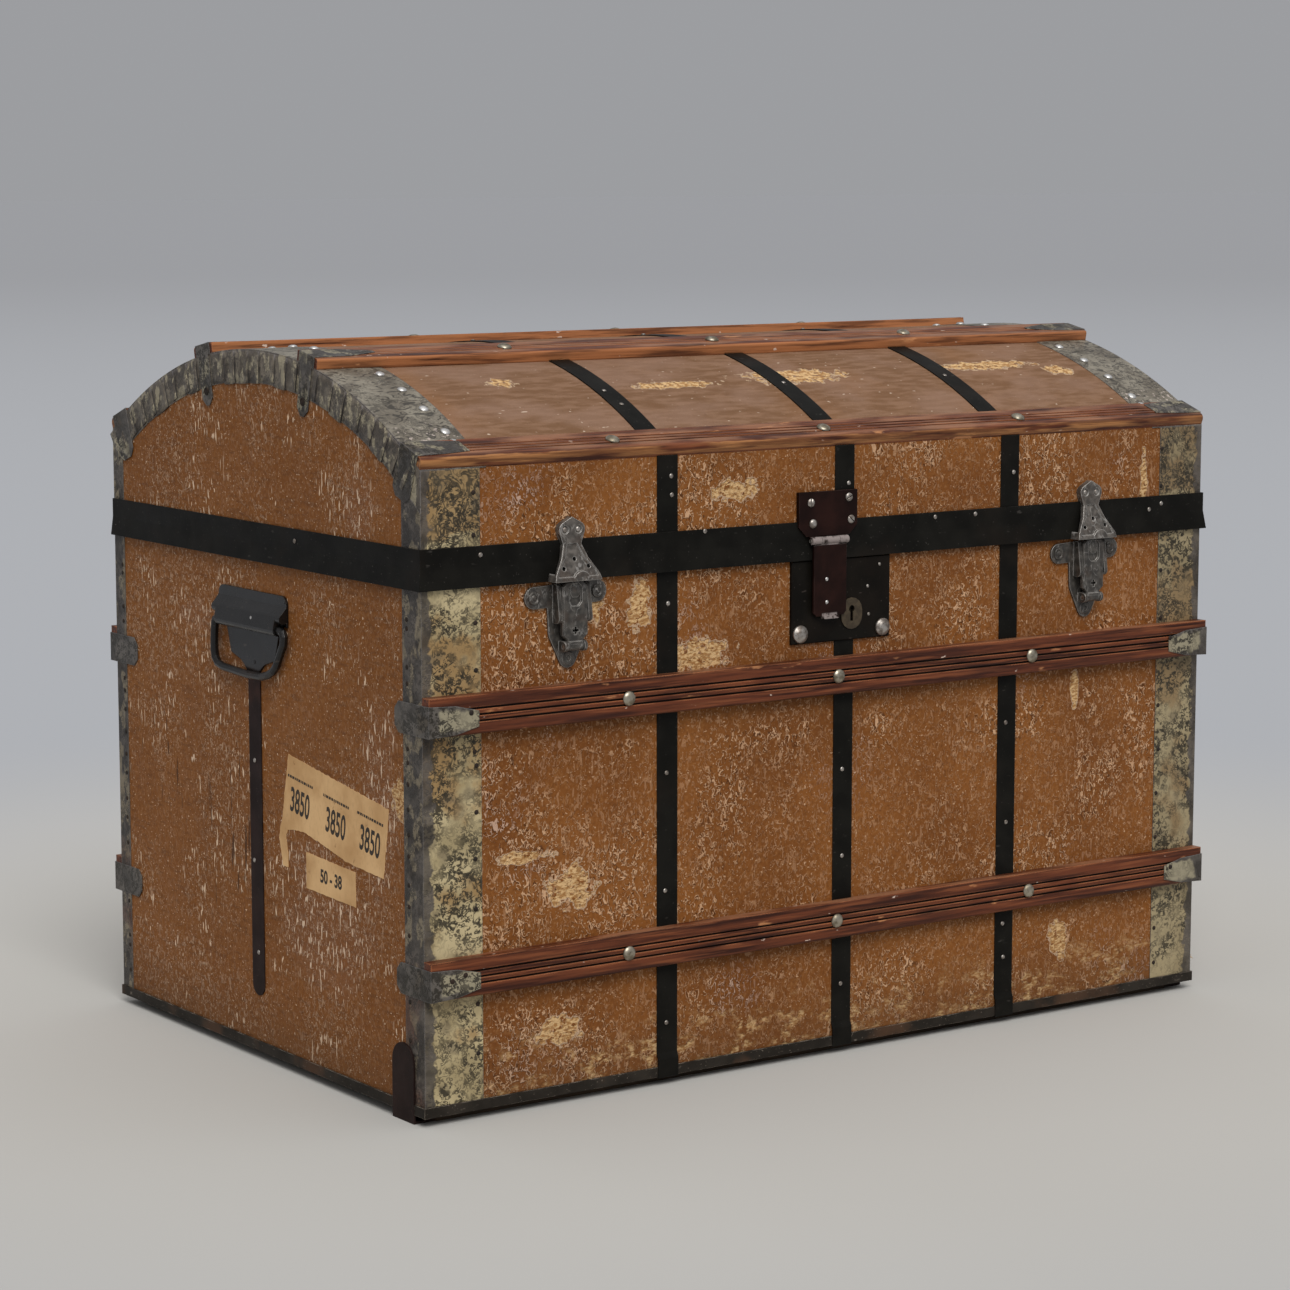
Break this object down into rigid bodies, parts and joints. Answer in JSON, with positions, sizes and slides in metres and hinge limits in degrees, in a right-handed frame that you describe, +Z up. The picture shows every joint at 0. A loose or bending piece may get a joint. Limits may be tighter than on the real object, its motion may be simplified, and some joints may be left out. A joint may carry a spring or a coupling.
{
  "type": "dome-top travelling trunk",
  "caption": "Dome-top travelling trunk in canvas-covered board, with tin edges, iron hoops, wooden slats, a hinged lid, hasp lock, draw-bolt latches and end handles.",
  "frame": {"origin": "on the floor, under the middle of the trunk, on the underside of the middle skid", "axes": "+Z up, the front with the lock faces -Y, the length runs along X"},
  "size_m": [0.8406, 0.5433, 0.6002],
  "materials": {
    "board": "sawn softwood board",
    "skid_wood": "dark worn hardwood",
    "canvas": "orange-brown painted canvas, crazed and worn",
    "lining_paper": "aged plain lining paper",
    "tin": "dull tinplate, pitted and stained",
    "black_iron": "black japanned iron, rubbed",
    "slat_wood": "red-brown varnished hardwood",
    "steel": "dull nail-head steel",
    "brass": "tarnished brass",
    "maroon_iron": "maroon-brown painted iron",
    "cast_iron": "dark cast iron with bright edges"
  },
  "bodies": {
    "trunk": {"front_board": "board", "back_board": "board", "left_end_board": "board", "right_end_board": "board", "bottom_board": "board", "bottom_skids": "skid_wood", "body_canvas": "canvas", "body_lining": "lining_paper", "front_left_tin": "tin", "front_right_tin": "tin", "back_corner_tins": "tin", "body_slat_clips": "tin", "bottom_rim": "black_iron", "body_hoops": "black_iron", "skid_end_irons": "black_iron", "end_straps": "black_iron", "left_handle_plate": "black_iron", "right_handle_plate": "black_iron", "lock_plate": "black_iron", "lock_case": "steel", "front_upper_slat": "slat_wood", "front_lower_slat": "slat_wood", "back_upper_slat": "slat_wood", "back_lower_slat": "slat_wood", "body_slat_nails": "steel", "lock_bolts": "steel", "escutcheon": "brass", "left_latch_plate": "cast_iron", "right_latch_plate": "cast_iron", "latch_pins": "steel", "lower_hinge_leaves": "black_iron", "hinge_pins": "steel"},
    "lid": {"lid_front_rail": "board", "lid_back_rail": "board", "lid_left_end": "board", "lid_right_end": "board", "lid_top": "board", "lid_canvas": "canvas", "lid_lining": "lining_paper", "lid_corner_tins": "tin", "left_dome_binding": "tin", "right_dome_binding": "tin", "lid_slat_clips": "tin", "lid_hoops": "black_iron", "lid_band": "black_iron", "front_top_slat": "slat_wood", "back_top_slat": "slat_wood", "front_edge_slat": "slat_wood", "back_edge_slat": "slat_wood", "lid_slat_nails": "steel", "hasp_plate": "maroon_iron", "hasp_pin": "steel", "latch_hoods": "cast_iron", "upper_hinge_leaves": "black_iron"},
    "hasp": {"hasp": "maroon_iron"},
    "left_latch": {"left_latch_lever": "cast_iron"},
    "right_latch": {"right_latch_lever": "cast_iron"},
    "left_bail": {"left_bail": "black_iron"},
    "right_bail": {"right_bail": "black_iron"}
  },
  "joints": [
    {"name": "lid_hinge", "type": "hinge", "parent": "trunk", "child": "lid", "pos_m": [0, 0.261, 0.436], "axis": [-1, 0, 0], "range_deg": [0, 100]},
    {"name": "hasp_hinge", "type": "hinge", "parent": "lid", "child": "hasp", "pos_m": [-0.017, -0.2628, 0.439], "axis": [-1, 0, 0], "range_deg": [0, 160]},
    {"name": "left_latch_swing", "type": "hinge", "parent": "trunk", "child": "left_latch", "pos_m": [-0.2737, -0.2648, 0.371], "axis": [1, 0, 0], "range_deg": [0, 120]},
    {"name": "right_latch_swing", "type": "hinge", "parent": "trunk", "child": "right_latch", "pos_m": [0.2737, -0.2648, 0.371], "axis": [1, 0, 0], "range_deg": [0, 120]},
    {"name": "left_bail_swing", "type": "hinge", "parent": "trunk", "child": "left_bail", "pos_m": [-0.41498, 0.007, 0.37], "axis": [0, 1, 0], "range_deg": [0, 95]},
    {"name": "right_bail_swing", "type": "hinge", "parent": "trunk", "child": "right_bail", "pos_m": [0.41498, 0.007, 0.37], "axis": [0, -1, 0], "range_deg": [0, 95]}
  ]
}
